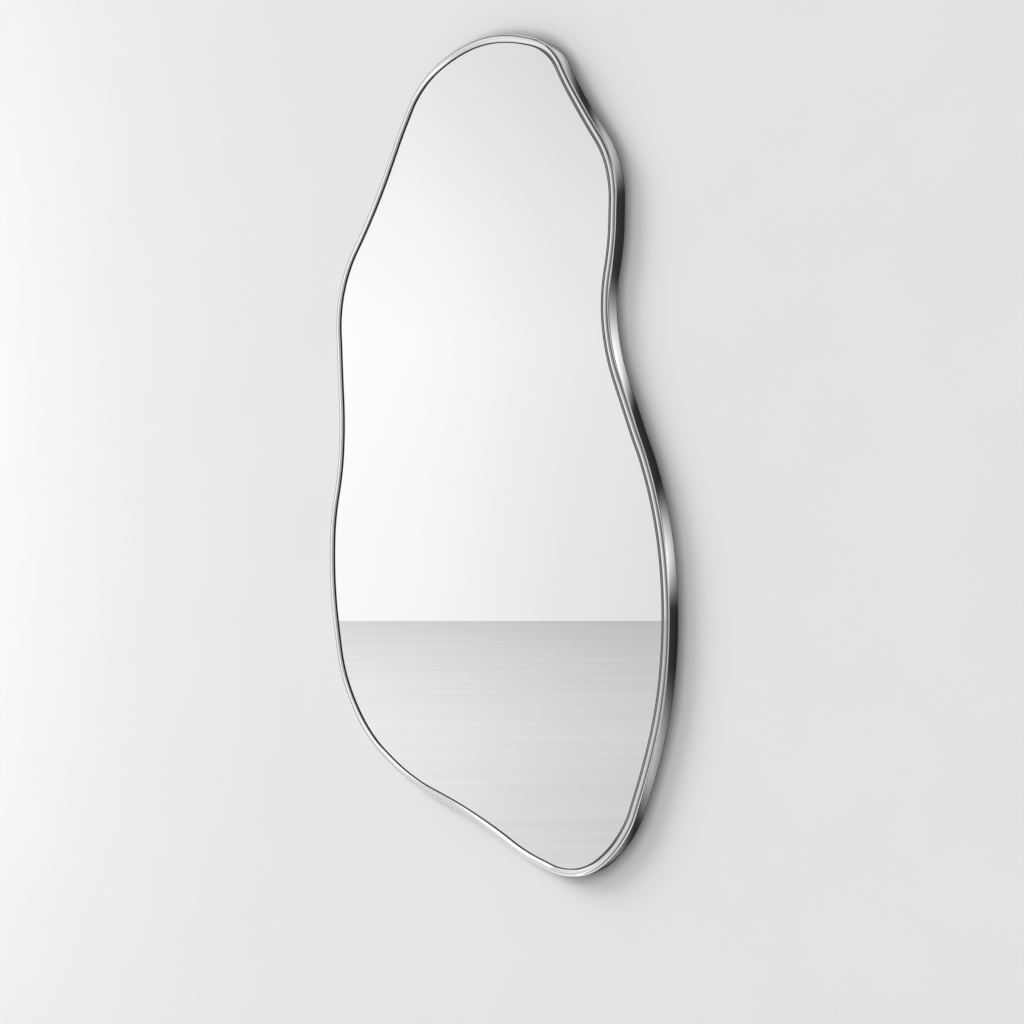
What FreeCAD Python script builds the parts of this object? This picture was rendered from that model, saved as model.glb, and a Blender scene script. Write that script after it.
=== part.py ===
import FreeCAD
import Part
import Sketcher
import math
import os

# An irregular wall mirror: bent metal frame, glass, backing board and hanging rails.
#
# Frame of the part, in millimetres: X to the right and Z up as seen from the room, Y into the
# wall. The wall is the plane Y = 0, and the origin is midway between the two wall screws, so
# everything else has Y < 0 and the face of the frame looks along -Y.

Vector = FreeCAD.Vector
ORIGIN = Vector(0, 0, 0)
Y_AXIS = Vector(0, 1, 0)
WORK_PLANE = "XZ_Plane"
SHORTEST_ARC = 1e-4
H_AXIS_INDEX = -1
V_AXIS_INDEX = -2
ROOT_POINT_INDEX = -1

# ------------------------------------------------------------------ driving dimensions

SIZES = {
    # overall
    "mirror_width": 698,
    "mirror_height": 1200,
    "frame_depth": 21,
    # frame section, bent from one gauge of polished strip
    "frame_gauge": 1.5,
    "face_width": 12,
    "nose_radius": 5,
    "lip_radius": 2,
    "lip_reach": 2.7,
    # glass and what it is packed with
    "glass_recess": 3,
    "glass_thickness": 4,
    "glass_edge_gap": 1.7,
    "gasket_width": 4.5,
    "packing_clearance": 0.1,
    "block_length": 30,
    "block_depth": 4,
    # behind the glass
    "film_thickness": 0.3,
    "film_edge_gap": 3,
    "tape_thickness": 0.7,
    "tape_width": 20,
    "tape_edge_gap": 30,
    "board_thickness": 6,
    "board_edge_gap": 2.5,
    # seam splices
    "splice_length": 50,
    "splice_height": 5.5,
    "splice_gauge": 1.5,
    "weld_gap": 0.3,
    # retaining tabs and their screws
    "tab_width": 14,
    "tab_height": 6.5,
    "tab_foot": 17,
    "tab_gauge": 1.2,
    "tab_hole_inset": 11,
    "tab_screw_shank": 3.5,
    "tab_screw_length": 5.2,
    "tab_screw_head": 7.5,
    "tab_screw_head_height": 2.2,
    "screw_clearance": 0.1,
    # hanging rails
    "hang_drop": 250,
    "rail_gauge": 1.5,
    "rail_bend_radius": 1,
    "mirror_rail_length": 300,
    "mirror_rail_height": 30,
    "mirror_lip_height": 10,
    "mirror_lip_wall_gap": 1.8,
    "wall_rail_length": 260,
    "wall_rail_height": 28,
    "wall_lip_height": 12,
    "hook_clearance": 0.3,
    "wall_hole_spacing": 200,
    "wall_hole_diameter": 5.5,
    "rail_screw_spacing": 80,
    "rail_screw_rise": 16,
    "rail_screw_diameter": 4,
    "rail_screw_length": 7,
    "rail_screw_head": 8,
    "rail_screw_head_height": 2.4,
    "tee_flange_diameter": 15,
    "tee_flange_thickness": 0.6,
    "tee_barrel_diameter": 5.6,
    "tee_barrel_length": 5.5,
    "tee_socket_clearance": 0.1,
    # wall bumpers
    "bumper_proud": 1,
    "bumper_width": 18,
    "bumper_chamfer": 1.5,
    "bumper_inset": 42,
}

LENGTH_COUNT = 4
OUTER_FOLD_COUNT = 3
INNER_FOLD_COUNT = 2
HEX_SIDE_COUNT = 6
SMALL_ROUND_SIDE_COUNT = 8
TAPE_COUNT = 5
TAB_COUNT = 8
BUMPER_COUNT = 4
RAIL_SCREW_COUNT = 4

# The outer edge of the frame, clockwise as seen from the room, from the middle of the foot. Only
# the shape counts here: the points are brought to the width and height above.
OUTLINE_POINTS = [
    (5, -555), (-201, -487), (-235, -466), (-309, -378), (-341, -261), (-348, -139), (-325, 9),
    (-330, 170), (-332, 210), (-209, 445), (-170, 511), (-146, 545), (-26, 599), (74, 589),
    (133, 562), (184, 489), (259, 342), (259, 302), (247, 160), (295, 15), (311, -22),
    (344, -313), (301, -475), (286, -512), (159, -600), (120, -594),
]

doc = FreeCAD.newDocument("IrregularMirror")
sheet = doc.addObject("Spreadsheet::Sheet", "Sizes")
for row, (alias, number) in enumerate(SIZES.items(), start=1):
    sheet.set(f"A{row}", alias)
    sheet.set(f"B{row}", str(number))
    sheet.setAlias(f"B{row}", alias)
doc.recompute()


def size(alias):
    """The number in one cell of the sheet."""
    return float(sheet.get(alias))


def cell(text):
    """An expression on the sheet's cells, such as "tab_width / 2", as objects bind it."""
    for alias in sorted(SIZES, key=len, reverse=True):
        text = text.replace(alias, "@" + str(list(SIZES).index(alias)) + "@")
    for number, alias in enumerate(SIZES):
        text = text.replace(f"@{number}@", "Sizes." + alias)
    return text


def value(text):
    """The value of such an expression now."""
    return float(sheet.evalExpression(cell(text)))


# Depths along Y, from the wall towards the room, each worked out from the one before.
RIM = "-bumper_proud"
FACE = "-(bumper_proud + frame_depth)"
GLASS_FRONT = f"({FACE} + glass_recess)"
GLASS_BACK = f"({GLASS_FRONT} + glass_thickness)"
FILM_BACK = f"({GLASS_BACK} + film_thickness)"
BOARD_FRONT = f"({FILM_BACK} + tape_thickness)"
BOARD_BACK = f"({BOARD_FRONT} + board_thickness)"
RAIL_FRONT = f"({BOARD_BACK} + rail_gauge)"

# Distances inwards from the outer edge of the frame.
GLASS_INSET = "(frame_gauge + glass_edge_gap)"
FILM_INSET = f"({GLASS_INSET} + film_edge_gap)"
BOARD_INSET = "(frame_gauge + board_edge_gap)"
TAPE_INSET = f"({GLASS_INSET} + tape_edge_gap)"
GASKET_INSET = "(nose_radius + packing_clearance)"
TAB_INSET = "(frame_gauge + weld_gap)"

# Heights of the two hooks above the wall screws.
WALL_WEB = "(wall_rail_height / 2)"
HOOK_LINE = f"({WALL_WEB} + wall_lip_height)"

# ------------------------------------------------------------------ the outline


def right_of(direction):
    """The direction a quarter turn clockwise, seen from the room: inwards, on this outline."""
    return Vector(direction.z, 0, -direction.x)


def travel_directions(points):
    """The direction of travel at each point, from the chords to its two neighbours."""
    directions = []
    for index, point in enumerate(points):
        before = point - points[index - 1]
        after = points[(index + 1) % len(points)] - point
        heading = before * (after.Length / before.Length) + after * (before.Length / after.Length)
        directions.append(heading.normalize())
    return directions


class OutlineArc:
    """One arc of the outline: it leaves start along heading and ends at end."""

    def __init__(self, start, heading, end):
        chord = end - start
        inward = right_of(heading)
        self.start = start
        self.end = end
        # positive where the outline turns right, so that the frame bulges outwards
        self.radius = chord.dot(chord) / (2 * chord.dot(inward))
        self.centre = start + inward * self.radius
        self.heading = heading
        self.turn = 2 * math.asin(chord.Length / (2 * abs(self.radius)))
        self.length = abs(self.radius) * self.turn

    def at(self, distance, inset=0.0):
        """The point inset inwards from the arc, a distance along it from the start."""
        angle = math.copysign(distance / abs(self.radius), self.radius)
        spoke = self.start - self.centre
        turned = FreeCAD.Rotation(Y_AXIS, math.degrees(angle)).multVec(spoke)
        return self.centre + turned * ((self.radius - inset) / self.radius)

    def heading_at(self, distance):
        angle = math.copysign(distance / abs(self.radius), self.radius)
        return FreeCAD.Rotation(Y_AXIS, math.degrees(angle)).multVec(self.heading)


def arc_pair(start, start_heading, end, end_heading):
    """Two arcs that join two points and are tangent to both headings and to each other."""
    chord = end - start
    headings = start_heading + end_heading
    spread = 2 * (1 - start_heading.dot(end_heading))
    along = chord.dot(headings)
    reach = (math.sqrt(along**2 + spread * chord.dot(chord)) - along) / spread
    middle = (start + end + (start_heading - end_heading) * reach) * 0.5
    first = OutlineArc(start, start_heading, middle)
    return [first, OutlineArc(middle, first.heading_at(first.length), end)]


def outline_arcs(points):
    headings = travel_directions(points)
    arcs = []
    for index, point in enumerate(points):
        following = (index + 1) % len(points)
        arcs += arc_pair(point, headings[index], points[following], headings[following])
    return arcs


def arc_edges(arcs, inset=0.0):
    """The arcs as edges in the plane Y = 0, inset inwards."""
    edges = []
    for arc in arcs:
        ends = [arc.at(share * arc.length, inset) for share in (0, 0.5, 1)]
        edges.append(Part.Arc(*ends).toShape())
    return edges


def ring(points):
    """The closed outline through the points, as a wire."""
    return Part.Wire(arc_edges(outline_arcs(points)))


def placed_points():
    """The drawn points at the real width and height, where the mirror hangs.

    Its top is the hanging drop above the origin, and its centre of area is in line with the
    origin, because a mirror hangs level only with its rails over its centre of gravity."""
    drawn = [Vector(x, 0, z) for x, z in OUTLINE_POINTS]
    box = ring(drawn).BoundBox
    across = size("mirror_width") / box.XLength
    up = size("mirror_height") / box.ZLength
    scaled = [Vector(point.x * across, 0, point.z * up) for point in drawn]
    balance = Part.Face(ring(scaled)).CenterOfMass
    lift = size("hang_drop") - ring(scaled).BoundBox.ZMax
    return [point + Vector(-balance.x, 0, lift) for point in scaled]


OUTLINE = outline_arcs(placed_points())
OUTLINE_LENGTH = sum(arc.length for arc in OUTLINE)
SEAMS = [OUTLINE_LENGTH * index / LENGTH_COUNT for index in range(LENGTH_COUNT)]


def on_outline(distance, inset=0.0):
    """The point and heading a distance along the outline from its first point."""
    distance %= OUTLINE_LENGTH
    for arc in OUTLINE:
        if distance <= arc.length:
            return arc.at(distance, inset), arc.heading_at(distance)
        distance -= arc.length
    return OUTLINE[0].start, OUTLINE[0].heading


def stretch(start, end):
    """The arcs of the outline from one distance to another, cut at both."""
    pieces = []
    reached = 0.0
    for arc in OUTLINE * 2:
        head = max(start - reached, 0.0)
        tail = min(end - reached, arc.length)
        if tail - head > SHORTEST_ARC:
            pieces.append(OutlineArc(arc.at(head), arc.heading_at(head), arc.at(tail)))
        reached += arc.length
    return pieces


def width_at(height, inset):
    """The left and right edge of the inset outline at one height."""
    samples = 2000
    walk = [on_outline(OUTLINE_LENGTH * i / samples, inset)[0] for i in range(samples)]
    crossings = []
    for index, point in enumerate(walk):
        previous = walk[index - 1]
        if (previous.z - height) * (point.z - height) < 0:
            share = (height - previous.z) / (point.z - previous.z)
            crossings.append(previous.x + share * (point.x - previous.x))
    return min(crossings), max(crossings)


# ------------------------------------------------------------------ tools for every piece


def new_body(name):
    body = doc.addObject("PartDesign::Body", name)
    body.Label = name
    return body


def new_sketch(body, name, plane=WORK_PLANE):
    sketch = body.newObject("Sketcher::SketchObject", name)
    planes = [item for item in body.Origin.OriginFeatures if item.Role == plane]
    sketch.AttachmentSupport = [(planes[0], "")]
    sketch.MapMode = "FlatFace"
    return sketch


def bind(thing, name, text):
    """Tie one property to the sheet."""
    thing.setExpression(name, cell(text))


def bind_coordinate(sketch, edge, point, kind, axis, text):
    """Tie one coordinate of a sketch point to the sheet, or put it on the axis."""
    if text == "0":
        sketch.addConstraint(Sketcher.Constraint("PointOnObject", edge, point, axis))
        return
    number = sketch.addConstraint(
        Sketcher.Constraint(kind, ROOT_POINT_INDEX, 1, edge, point, value(text)))
    sketch.setExpression(f"Constraints[{number}]", cell(text))


def profile(sketch, corners):
    """A closed profile with straight sides, its corners tied to the sheet."""
    first = sketch.GeometryCount
    flat = [Vector(value(x_text), value(y_text), 0) for x_text, y_text in corners]
    for index, start in enumerate(flat):
        end = flat[(index + 1) % len(flat)]
        sketch.addGeometry(Part.LineSegment(start, end), False)
    for index in range(len(corners)):
        following = first + (index + 1) % len(corners)
        sketch.addConstraint(
            Sketcher.Constraint("Coincident", first + index, 2, following, 1))
    for index, (x_text, y_text) in enumerate(corners):
        bind_coordinate(sketch, first + index, 1, "DistanceX", V_AXIS_INDEX, x_text)
        bind_coordinate(sketch, first + index, 1, "DistanceY", H_AXIS_INDEX, y_text)


def small_hole(sketch, x_text, y_text, diameter_text):
    """A hole for a small fastener, drawn with a few sides about its centre."""
    corners = []
    for side in range(SMALL_ROUND_SIDE_COUNT):
        angle = math.tau * (side + 0.5) / SMALL_ROUND_SIDE_COUNT
        corners.append((f"{x_text} + ({diameter_text}) / 2 * {math.cos(angle):.6f}",
                        f"{y_text} + ({diameter_text}) / 2 * {math.sin(angle):.6f}"))
    profile(sketch, corners)


def circle(sketch, x_text, y_text, diameter_text):
    centre = Vector(value(x_text), value(y_text), 0)
    edge = sketch.addGeometry(Part.Circle(centre, Vector(0, 0, 1), value(diameter_text) / 2))
    number = sketch.addConstraint(Sketcher.Constraint("Diameter", edge, value(diameter_text)))
    sketch.setExpression(f"Constraints[{number}]", cell(diameter_text))
    bind_coordinate(sketch, edge, 3, "DistanceX", V_AXIS_INDEX, x_text)
    bind_coordinate(sketch, edge, 3, "DistanceY", H_AXIS_INDEX, y_text)


def draw_arcs(sketch, arcs, inset_text):
    """Arcs of the outline in a sketch on the wall plane, inset inwards."""
    inset = value(inset_text)
    for arc in arcs:
        ends = [arc.at(share * arc.length, inset) for share in (0, 0.5, 1)]
        sketch.addGeometry(Part.Arc(*[Vector(end.x, end.z, 0) for end in ends]), False)


def draw_line(sketch, start, end):
    sketch.addGeometry(Part.LineSegment(Vector(start.x, start.z, 0), Vector(end.x, end.z, 0)))


def pad(body, sketch, name, length_text, both_ways=False):
    """A pad off the sketch: towards the room from the wall plane, or half each way."""
    feature = body.newObject("PartDesign::Pad", name)
    feature.Profile = sketch
    bind(feature, "Length", length_text)
    if both_ways:
        feature.SideType = "Symmetric"
    return feature


def cut_through(body, sketch, name):
    feature = body.newObject("PartDesign::Pocket", name)
    feature.Profile = sketch
    feature.Type = "ThroughAll"
    feature.SideType = "Symmetric"
    return feature


def place_at_depth(body, depth_text):
    body.Placement = FreeCAD.Placement(Vector(0, value(depth_text), 0), FreeCAD.Rotation())
    bind(body, "Placement.Base.y", depth_text)


def edges_near(shape, test):
    """The names of the edges whose middle passes a test."""
    names = []
    for number, edge in enumerate(shape.Edges, start=1):
        if test(edge):
            names.append(f"Edge{number}")
    return names


def long_edge_at(y, z):
    """A test for the edges along X at one place in the section."""
    def test(edge):
        middle = edge.BoundBox.Center
        flat = edge.BoundBox.YLength < 1e-6 and edge.BoundBox.ZLength < 1e-6
        return flat and abs(middle.y - y) < 1e-4 and abs(middle.z - z) < 1e-4
    return test


def edge_in_plane(y):
    """A test for the edges at one depth."""
    def test(edge):
        return edge.BoundBox.YLength < 1e-6 and abs(edge.BoundBox.Center.y - y) < 1e-4
    return test


# ------------------------------------------------------------------ frame


def nose_folds(radius_text, fold_count):
    """The folds of the nose, from the wall to the face, at one radius about its centre."""
    corners = []
    for fold in range(fold_count + 1):
        angle = math.pi / 2 * fold / fold_count
        corners.append((f"nose_radius - {radius_text} * {math.cos(angle):.6f}",
                        f"nose_radius - frame_depth - {radius_text} * {math.sin(angle):.6f}"))
    return corners


def frame_length(number):
    """One length of the frame: the folded strip's section, swept along its share of the outline.

    The section runs from the rim on the wall side up the outer wall, over the nose in small
    folds, across the face, and down the lip that hides the gasket."""
    name = f"frame_length_{number + 1}"
    body = new_body(name)
    arcs = stretch(SEAMS[number], SEAMS[number] + OUTLINE_LENGTH / LENGTH_COUNT)
    start = arcs[0].start
    heading = arcs[0].heading
    path = new_sketch(body, name + "_path")
    draw_arcs(path, arcs, "0")
    section = new_sketch(body, name + "_section", "XY_Plane")
    across = FreeCAD.Rotation(right_of(heading), Y_AXIS, heading, "ZXY")
    section.AttachmentOffset = FreeCAD.Placement(start, across)
    outer_nose = nose_folds("nose_radius", OUTER_FOLD_COUNT)
    inner_nose = nose_folds("(nose_radius - frame_gauge)", INNER_FOLD_COUNT)
    lip_end = "lip_reach - frame_depth"
    profile(section, [
        ("0", "0"),
        *outer_nose,
        ("face_width - lip_radius", "-frame_depth"),
        ("face_width", "lip_radius - frame_depth"),
        ("face_width", lip_end),
        ("face_width - frame_gauge", lip_end),
        ("face_width - frame_gauge", "frame_gauge - frame_depth"),
        *reversed(inner_nose),
        ("frame_gauge", "0"),
    ])
    sweep = body.newObject("PartDesign::AdditivePipe", name + "_bend")
    sweep.Profile = section
    sweep.Spine = (path, [f"Edge{edge + 1}" for edge in range(len(arcs))])
    sweep.Mode = "Binormal"
    sweep.Binormal = Y_AXIS
    place_at_depth(body, RIM)
    return body


def seam_splice(number):
    """A plate along the inside of the frame's wall, across the butt seam of two lengths."""
    name = f"seam_splice_{number + 1}"
    body = new_body(name)
    sketch = new_sketch(body, name + "_plan")
    half = size("splice_length") / 2
    seam = SEAMS[number] + OUTLINE_LENGTH * (number == 0)
    arcs = stretch(seam - half, seam + half)
    outer = value("frame_gauge + weld_gap")
    inner = outer + size("splice_gauge")
    draw_arcs(sketch, arcs, "frame_gauge + weld_gap")
    draw_arcs(sketch, arcs, "frame_gauge + weld_gap + splice_gauge")
    first, last = arcs[0], arcs[-1]
    draw_line(sketch, first.at(0, outer), first.at(0, inner))
    draw_line(sketch, last.at(last.length, outer), last.at(last.length, inner))
    pad(body, sketch, name + "_pad", "splice_height")
    place_at_depth(body, RIM + " - weld_gap")
    return body


# ------------------------------------------------------------------ glass and packing


def outline_sheet(name, inset_text, thickness_text, depth_text):
    """A flat sheet cut to the inset outline, with its back face at the given depth."""
    body = new_body(name)
    sketch = new_sketch(body, name + "_outline")
    draw_arcs(sketch, OUTLINE, inset_text)
    pad(body, sketch, name + "_sheet", thickness_text)
    place_at_depth(body, depth_text)
    return body


def glazing_gasket():
    """The foam strip in the hollow of the frame's face, all the way round."""
    body = new_body("glazing_gasket")
    sketch = new_sketch(body, "gasket_plan")
    draw_arcs(sketch, OUTLINE, GASKET_INSET)
    draw_arcs(sketch, OUTLINE, GASKET_INSET + " + gasket_width")
    pad(body, sketch, "gasket_strip", "glass_recess - frame_gauge")
    place_at_depth(body, GLASS_FRONT)
    return body


def setting_block(name, distance):
    """A block between the glass edge and the frame's wall, behind the bend of the nose."""
    body = new_body(name)
    sketch = new_sketch(body, name + "_plan")
    half = size("block_length") / 2
    arcs = stretch(distance - half, distance + half)
    outer = "frame_gauge + packing_clearance"
    inner = GLASS_INSET + " - packing_clearance"
    draw_arcs(sketch, arcs, outer)
    draw_arcs(sketch, arcs, inner)
    first, last = arcs[0], arcs[-1]
    draw_line(sketch, first.at(0, value(outer)), first.at(0, value(inner)))
    draw_line(sketch, last.at(last.length, value(outer)), last.at(last.length, value(inner)))
    pad(body, sketch, name + "_pad", "block_depth")
    place_at_depth(body, f"{FACE} + nose_radius + packing_clearance + block_depth")
    return body


def bonding_tape(number):
    """One level strip of foam tape, as long as the glass is wide at its height."""
    name = f"bonding_tape_{number}"
    pitch = size("mirror_height") / TAPE_COUNT
    height = size("hang_drop") - pitch * (number - 0.5)
    left, right = width_at(height, value(TAPE_INSET))
    strip = doc.addObject("Part::Box", name)
    strip.Label = name
    strip.Length = right - left
    bind(strip, "Width", "tape_thickness")
    bind(strip, "Height", "tape_width")
    strip.Placement = FreeCAD.Placement(Vector(left, 0, height), FreeCAD.Rotation())
    bind(strip, "Placement.Base.y", FILM_BACK)
    return strip


# ------------------------------------------------------------------ board and tabs


def tab_distance(index):
    """Where a tab stands along the outline: evenly spaced, clear of the bottom seam."""
    return OUTLINE_LENGTH * (index + 0.5) / TAB_COUNT


def tab_screw_places():
    inset = value(f"{TAB_INSET} + tab_hole_inset")
    return [on_outline(tab_distance(index), inset)[0] for index in range(TAB_COUNT)]


def rail_screw_texts():
    """Where the rail's screws are, as expressions: a level row over the hook."""
    height = f"{HOOK_LINE} + rail_screw_rise"
    middle = (RAIL_SCREW_COUNT - 1) / 2
    return [(f"rail_screw_spacing * {index - middle}", height)
            for index in range(RAIL_SCREW_COUNT)]


def backing_board():
    body = outline_sheet("backing_board", BOARD_INSET, "board_thickness", BOARD_BACK)
    pilots = new_sketch(body, "pilot_holes")
    for place in tab_screw_places():
        small_hole(pilots, f"{place.x:.4f}", f"{place.z:.4f}", "tab_screw_shank + screw_clearance")
    cut_through(body, pilots, "pilot_hole_cut")
    barrels = new_sketch(body, "tee_nut_holes")
    for across, height in rail_screw_texts():
        small_hole(barrels, across, height, "tee_barrel_diameter + tee_socket_clearance")
    cut_through(body, barrels, "tee_nut_hole_cut")
    return body


def retaining_tab(index):
    """An angle tab: one leg along the frame's wall, the other over the back of the board.

    The foot is slotted from its end, so that it slides in under its screw."""
    name = f"retaining_tab_{index + 1:02d}"
    body = new_body(name)
    section = new_sketch(body, name + "_section", "YZ_Plane")
    profile(section, [
        ("0", "-tab_gauge"),
        ("tab_gauge", "0"),
        ("tab_height", "0"),
        ("tab_height", "-tab_gauge"),
        ("tab_gauge", "-tab_gauge"),
        ("tab_gauge", "-tab_foot"),
        ("0", "-tab_foot"),
    ])
    pad(body, section, name + "_bar", "tab_width", both_ways=True)
    slot = new_sketch(body, name + "_slot")
    half = "(tab_screw_shank / 2 + screw_clearance * 2)"
    slot_top = f"{half} - tab_hole_inset"
    profile(slot, [
        (f"-{half}", slot_top),
        (f"-{half}", "-tab_foot"),
        (half, "-tab_foot"),
        (half, slot_top),
    ])
    cut_through(body, slot, name + "_slot_cut")
    point, heading = on_outline(tab_distance(index), value(TAB_INSET))
    outwards = right_of(heading) * -1
    turned = FreeCAD.Rotation(heading, Y_AXIS, outwards, "ZYX")
    point.y = value(BOARD_BACK)
    body.Placement = FreeCAD.Placement(point, turned)
    bind(body, "Placement.Base.y", BOARD_BACK)
    return body


def prism(side_count, diameter, length):
    """A bar along Y from the origin, with that many sides inside its diameter."""
    corners = []
    for side in range(side_count + 1):
        angle = math.tau * (side + 0.5) / side_count
        corners.append(Vector(math.cos(angle), 0, math.sin(angle)) * (diameter / 2))
    return Part.Face(Part.makePolygon(corners)).extrude(Y_AXIS * length)


def hex_head_screw(shank, length, head, head_height):
    """A screw along Y: head towards the wall, shank towards the room, seat at Y = 0."""
    return prism(HEX_SIDE_COUNT, head, head_height).fuse(
        prism(SMALL_ROUND_SIDE_COUNT, shank, -length))


def fastener_group(name, solid, places):
    """Identical fasteners, one at each place."""
    copies = []
    for place in places:
        copy = solid.copy()
        copy.translate(place)
        copies.append(copy)
    group = doc.addObject("Part::Feature", name)
    group.Label = name
    group.Shape = Part.makeCompound(copies)
    group.Placement = FreeCAD.Placement()
    return group


def tab_screws():
    screw = hex_head_screw(size("tab_screw_shank"), size("tab_screw_length"),
                           size("tab_screw_head"), size("tab_screw_head_height"))
    seat = Vector(0, value(f"{BOARD_BACK} + tab_gauge"), 0)
    return fastener_group("tab_screws", screw, [place + seat for place in tab_screw_places()])


# ------------------------------------------------------------------ hanging rails


def bend_rail(body, bar, bends):
    """Round the bends of a rail, each inside and outside."""
    feature = bar
    for number, (y, z, radius_text) in enumerate(bends, start=1):
        doc.recompute()
        bend = body.newObject("PartDesign::Fillet", f"{body.Name}_bend_{number}")
        bend.Base = (feature, edges_near(feature.Shape, long_edge_at(value(y), value(z))))
        bind(bend, "Radius", radius_text)
        feature = bend


def mirror_rail():
    """The rail on the board: a plate, a web towards the wall, and a lip that points down."""
    body = new_body("mirror_rail")
    section = new_sketch(body, "mirror_rail_section", "YZ_Plane")
    lip_back = "-mirror_lip_wall_gap"
    lip_front = "-(mirror_lip_wall_gap + rail_gauge)"
    web_top = f"{HOOK_LINE} + rail_gauge"
    lip_end = f"{HOOK_LINE} - mirror_lip_height"
    plate_top = f"{HOOK_LINE} + mirror_rail_height"
    profile(section, [
        (BOARD_BACK, HOOK_LINE),
        (lip_front, HOOK_LINE),
        (lip_front, lip_end),
        (lip_back, lip_end),
        (lip_back, web_top),
        (RAIL_FRONT, web_top),
        (RAIL_FRONT, plate_top),
        (BOARD_BACK, plate_top),
    ])
    bar = pad(body, section, "mirror_rail_bar", "mirror_rail_length", both_ways=True)
    bend_rail(body, bar, [
        (RAIL_FRONT, web_top, "rail_bend_radius"),
        (lip_back, web_top, "rail_bend_radius + rail_gauge"),
    ])
    holes = new_sketch(body, "mirror_rail_holes")
    for across, height in rail_screw_texts():
        small_hole(holes, across, height, "rail_screw_diameter + screw_clearance * 4")
    cut_through(body, holes, "mirror_rail_hole_cut")
    return body


def wall_rail():
    """The rail on the wall: a plate with two screw holes, a web, and a lip that points up."""
    body = new_body("wall_rail")
    section = new_sketch(body, "wall_rail_section", "YZ_Plane")
    lip_back = "-(mirror_lip_wall_gap + rail_gauge + hook_clearance)"
    lip_front = "-(mirror_lip_wall_gap + rail_gauge * 2 + hook_clearance)"
    plate_foot = "-(wall_rail_height / 2)"
    web_foot = f"{WALL_WEB} - rail_gauge"
    profile(section, [
        ("0", plate_foot),
        ("0", WALL_WEB),
        (lip_back, WALL_WEB),
        (lip_back, HOOK_LINE),
        (lip_front, HOOK_LINE),
        (lip_front, web_foot),
        ("-rail_gauge", web_foot),
        ("-rail_gauge", plate_foot),
    ])
    bar = pad(body, section, "wall_rail_bar", "wall_rail_length", both_ways=True)
    bend_rail(body, bar, [
        ("-rail_gauge", web_foot, "rail_bend_radius"),
        (lip_front, web_foot, "rail_bend_radius + rail_gauge"),
        (lip_back, WALL_WEB, "rail_bend_radius / 2"),
    ])
    holes = new_sketch(body, "wall_screw_holes")
    for side in ("-", ""):
        circle(holes, f"{side}wall_hole_spacing / 2", "0", "wall_hole_diameter")
    cut_through(body, holes, "wall_screw_hole_cut")
    return body


def rail_screw_places(depth_text):
    return [Vector(value(across), value(depth_text), value(height))
            for across, height in rail_screw_texts()]


def rail_screws():
    screw = hex_head_screw(size("rail_screw_diameter"), size("rail_screw_length"),
                           size("rail_screw_head"), size("rail_screw_head_height"))
    return fastener_group("rail_screws", screw, rail_screw_places(RAIL_FRONT))


def tee_nuts():
    """Nuts let into the board from the front, their hexagonal flanges beside the tape."""
    thickness = size("tee_flange_thickness")
    reach = thickness + size("tee_barrel_length")
    bore = prism(SMALL_ROUND_SIDE_COUNT, value("rail_screw_diameter + screw_clearance"), reach)
    flange = prism(HEX_SIDE_COUNT, size("tee_flange_diameter"), thickness)
    barrel = prism(SMALL_ROUND_SIDE_COUNT, size("tee_barrel_diameter"), reach)
    seat = f"{BOARD_FRONT} - tee_flange_thickness"
    return fastener_group("tee_nuts", flange.fuse(barrel).cut(bore), rail_screw_places(seat))


def wall_bumper(index):
    """A square rubber pad from the board to the wall, chamfered round its tip."""
    name = f"wall_bumper_{index + 1}"
    body = new_body(name)
    section = new_sketch(body, name + "_section")
    half = "bumper_width / 2"
    profile(section, [
        (f"-{half}", f"-{half}"),
        (half, f"-{half}"),
        (half, half),
        (f"-{half}", half),
    ])
    block = pad(body, section, name + "_block", f"-{BOARD_BACK}")
    doc.recompute()
    chamfer = body.newObject("PartDesign::Chamfer", name + "_chamfer")
    chamfer.Base = (block, edges_near(block.Shape, edge_in_plane(0)))
    bind(chamfer, "Size", "bumper_chamfer")
    place, _ = on_outline(OUTLINE_LENGTH * (index + 0.5) / BUMPER_COUNT, size("bumper_inset"))
    body.Placement = FreeCAD.Placement(place, FreeCAD.Rotation())
    return body


# ------------------------------------------------------------------ the assembly

pieces = [
    glazing_gasket(),
    outline_sheet("mirror_glass", GLASS_INSET, "glass_thickness", GLASS_BACK),
    setting_block("setting_block_left", OUTLINE_LENGTH * 0.07),
    setting_block("setting_block_right", OUTLINE_LENGTH * 0.95),
    outline_sheet("safety_film", FILM_INSET, "film_thickness", FILM_BACK),
    backing_board(),
    tab_screws(),
    mirror_rail(),
    rail_screws(),
    tee_nuts(),
    wall_rail(),
]
pieces += [frame_length(number) for number in range(LENGTH_COUNT)]
pieces += [seam_splice(number) for number in range(LENGTH_COUNT)]
pieces += [bonding_tape(number + 1) for number in range(TAPE_COUNT)]
pieces += [retaining_tab(index) for index in range(TAB_COUNT)]
pieces += [wall_bumper(index) for index in range(BUMPER_COUNT)]
doc.recompute()

for item in doc.Objects:
    if "Invalid" in item.State or "Error" in item.State:
        raise RuntimeError(f"{item.Label} failed: {item.State}")
for piece in pieces:
    if piece.Shape.isNull() or not piece.Shape.isValid() or piece.Shape.Volume <= 0:
        raise RuntimeError(f"{piece.Label} has no valid solid")

os.makedirs("parts", exist_ok=True)
for piece in pieces:
    piece.Shape.exportStep(f"parts/{piece.Label}.step")
    print(f"{piece.Label}: {len(piece.Shape.Solids)} solid, {piece.Shape.Volume / 1000:.2f} cm3")
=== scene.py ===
import math

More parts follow.
